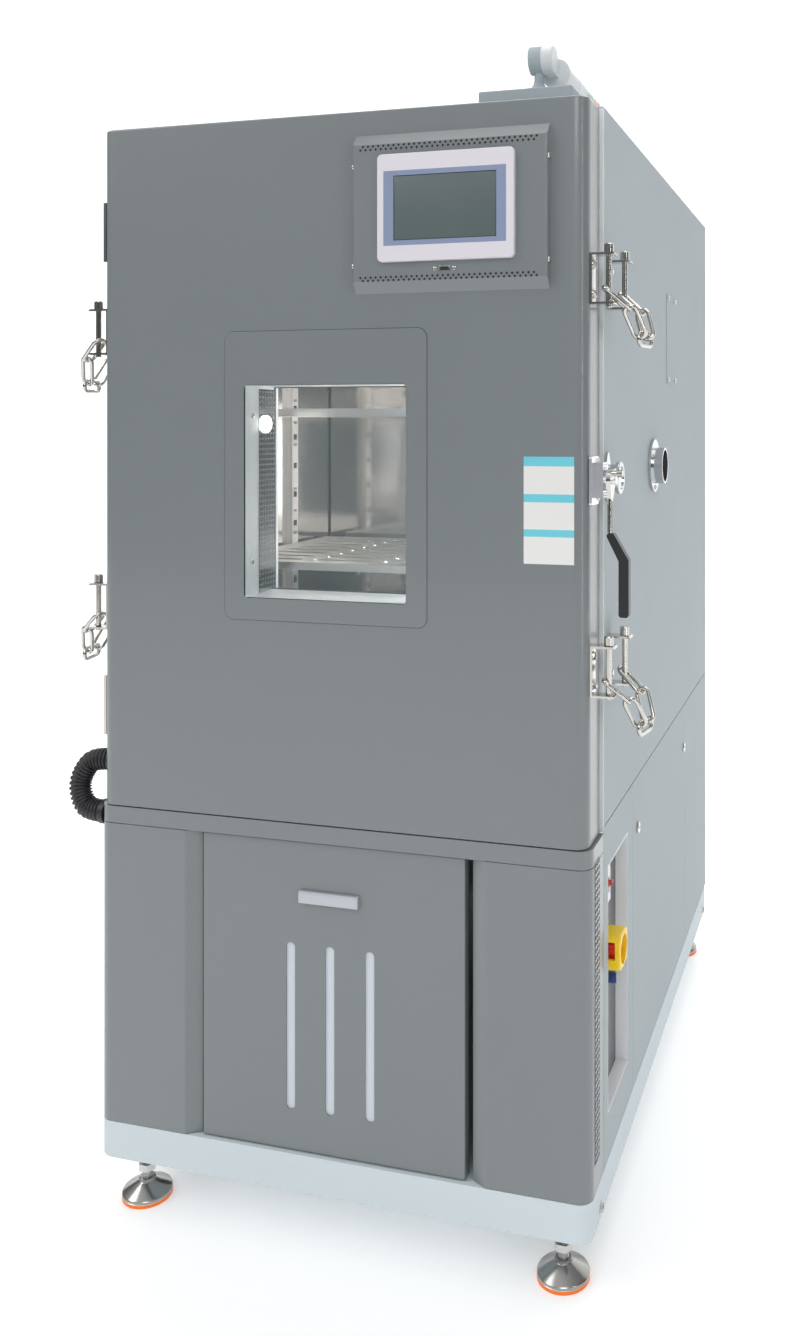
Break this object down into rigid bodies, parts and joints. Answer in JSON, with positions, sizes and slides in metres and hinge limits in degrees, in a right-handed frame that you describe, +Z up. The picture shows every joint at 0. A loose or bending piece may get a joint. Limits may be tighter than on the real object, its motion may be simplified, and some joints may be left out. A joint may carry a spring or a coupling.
{
  "type": "environmental test chamber",
  "caption": "Upright temperature test chamber: windowed hinged door with touch panel, latch and chains, side cable port, lower machine bay, folding stack light, feet and casters.",
  "frame": {"origin": "on the floor, below the middle of the object's width and depth", "axes": "+Z up, -Y towards the user at the door, +X to the user's right"},
  "size_m": [0.9105, 1.175, 1.7505],
  "materials": {
    "light_paint": "satin",
    "white_paint": "satin",
    "dark_paint": "satin",
    "stainless": "brushed",
    "plated_steel": "bright",
    "foam": "matte",
    "motor_metal": "satin",
    "coil_metal": "satin",
    "black_rubber": "matte",
    "foot_orange": "matte",
    "wheel_plastic": "matte",
    "switch_white": "matte",
    "guard_yellow": "gloss",
    "button_red": "gloss",
    "knob_blue": "matte",
    "screen_housing": "satin",
    "lamp_white": "satin",
    "lens_colour": "clear",
    "pane": "clear"
  },
  "bodies": {
    "case": {"base_plinth": "light_paint", "levelling_feet": "foot_orange", "upper_sides": "light_paint", "roof_panel": "light_paint", "front_frame": "white_paint", "back_panel": "light_paint", "lower_sides": "light_paint", "lower_posts": "dark_paint", "header_band": "dark_paint", "chamber_liner": "stainless", "insulation": "foam", "shelf_rack": "stainless", "air_baffle": "stainless", "coil_and_heater": "coil_metal", "fan_motor": "motor_metal", "condenser": "coil_metal", "compressor": "motor_metal", "cable_port": "stainless", "cable_glands": "black_rubber", "latch_keeper": "stainless", "case_hinges": "stainless", "chain_brackets_case": "plated_steel", "safety_chains": "plated_steel", "door_hose": "black_rubber", "service_panel": "light_paint", "switch_recess": "white_paint", "switch_modules": "switch_white", "estop_guard": "guard_yellow", "stack_base": "light_paint"},
    "door": {"door_shell": "dark_paint", "door_liner": "stainless", "door_gasket": "black_rubber", "window_frame": "dark_paint", "window_glass": "pane", "window_tunnel": "stainless", "control_cover": "dark_paint", "touch_panel": "screen_housing", "latch_body": "plated_steel", "door_hinges": "stainless", "chain_brackets_door": "plated_steel"},
    "latch": {"latch_lever": "stainless", "latch_grip": "black_rubber"},
    "upper_pin": {"chain_pin_upper": "plated_steel"},
    "lower_pin": {"chain_pin_lower": "plated_steel"},
    "access_door": {"access_panel": "dark_paint"},
    "front_lock": {"service_lock_front": "plated_steel"},
    "rear_lock": {"service_lock_rear": "plated_steel"},
    "toggle": {"breaker_toggle": "switch_white"},
    "stop_button": {"estop_button": "button_red"},
    "selector": {"selector_knob": "knob_blue"},
    "lamp": {"stack_lamp": "lamp_white", "stack_lenses": "lens_colour"},
    "air_fan": {"circulation_fan": "stainless"},
    "cooling_fan": {"condenser_fan": "wheel_plastic"},
    "fork_left": {"front_fork_left": "plated_steel"},
    "fork_right": {"front_fork_right": "plated_steel"},
    "wheel_front_left": {"front_wheel_left": "wheel_plastic"},
    "wheel_front_right": {"front_wheel_right": "wheel_plastic"},
    "wheel_rear_left": {"rear_wheel_left": "wheel_plastic"},
    "wheel_rear_right": {"rear_wheel_right": "wheel_plastic"}
  },
  "joints": [
    {"name": "door_swing", "type": "hinge", "parent": "case", "child": "door", "pos_m": [-0.413, -0.4925, 1.12], "axis": [0, 0, -1], "range_deg": [0, 100], "deforming": ["safety_chains", "door_hose"]},
    {"name": "latch_lift", "type": "hinge", "parent": "door", "child": "latch", "pos_m": [0.403, -0.5375, 1.112], "axis": [-1, 0, 0], "range_deg": [0, 60]},
    {"name": "upper_pin_lift", "type": "slide", "parent": "door", "child": "upper_pin", "axis": [0, 0, 1], "range_m": [0, 0.07]},
    {"name": "lower_pin_lift", "type": "slide", "parent": "door", "child": "lower_pin", "axis": [0, 0, 1], "range_m": [0, 0.07]},
    {"name": "access_swing", "type": "hinge", "parent": "case", "child": "access_door", "pos_m": [-0.2, -0.5535, 0.36], "axis": [0, 0, -1], "range_deg": [0, 100]},
    {"name": "front_lock_turn", "type": "hinge", "parent": "case", "child": "front_lock", "pos_m": [0.383, -0.2435, 0.538], "axis": [1, 0, 0], "range_deg": [0, 90]},
    {"name": "rear_lock_turn", "type": "hinge", "parent": "case", "child": "rear_lock", "pos_m": [0.383, 0.2335, 0.538], "axis": [1, 0, 0], "range_deg": [0, 90]},
    {"name": "breaker_tip", "type": "hinge", "parent": "case", "child": "toggle", "pos_m": [0.373, -0.4315, 0.516], "axis": [0, -1, 0], "range_deg": [-45, 0]},
    {"name": "stop_press", "type": "slide", "parent": "case", "child": "stop_button", "axis": [-1, 0, 0], "range_m": [0, 0.005], "stiffness_N_per_m": 400},
    {"name": "selector_turn", "type": "hinge", "parent": "case", "child": "selector", "pos_m": [0.363, -0.4095, 0.372], "axis": [1, 0, 0], "range_deg": [-90, 90]},
    {"name": "stack_fold", "type": "hinge", "parent": "case", "child": "lamp", "pos_m": [0.268, -0.4175, 1.73], "axis": [1, 0, 0], "range_deg": [0, 90]},
    {"name": "air_fan_spin", "type": "hinge", "parent": "case", "child": "air_fan", "pos_m": [0, 0.0325, 1.11], "axis": [0, 1, 0], "continuous": true},
    {"name": "cooling_fan_spin", "type": "hinge", "parent": "case", "child": "cooling_fan", "pos_m": [0.06, 0.4485, 0.34], "axis": [0, 1, 0], "continuous": true},
    {"name": "fork_left_swivel", "type": "hinge", "parent": "case", "child": "fork_left", "pos_m": [-0.3, -0.4675, 0.095], "axis": [0, 0, 1], "continuous": true},
    {"name": "fork_right_swivel", "type": "hinge", "parent": "case", "child": "fork_right", "pos_m": [0.3, -0.4675, 0.095], "axis": [0, 0, 1], "continuous": true},
    {"name": "front_left_roll", "type": "hinge", "parent": "fork_left", "child": "wheel_front_left", "pos_m": [-0.3, -0.4475, 0.042], "axis": [1, 0, 0], "continuous": true},
    {"name": "front_right_roll", "type": "hinge", "parent": "fork_right", "child": "wheel_front_right", "pos_m": [0.3, -0.4475, 0.042], "axis": [1, 0, 0], "continuous": true},
    {"name": "rear_left_roll", "type": "hinge", "parent": "case", "child": "wheel_rear_left", "pos_m": [-0.3, 0.4875, 0.042], "axis": [1, 0, 0], "continuous": true},
    {"name": "rear_right_roll", "type": "hinge", "parent": "case", "child": "wheel_rear_right", "pos_m": [0.3, 0.4875, 0.042], "axis": [1, 0, 0], "continuous": true}
  ]
}
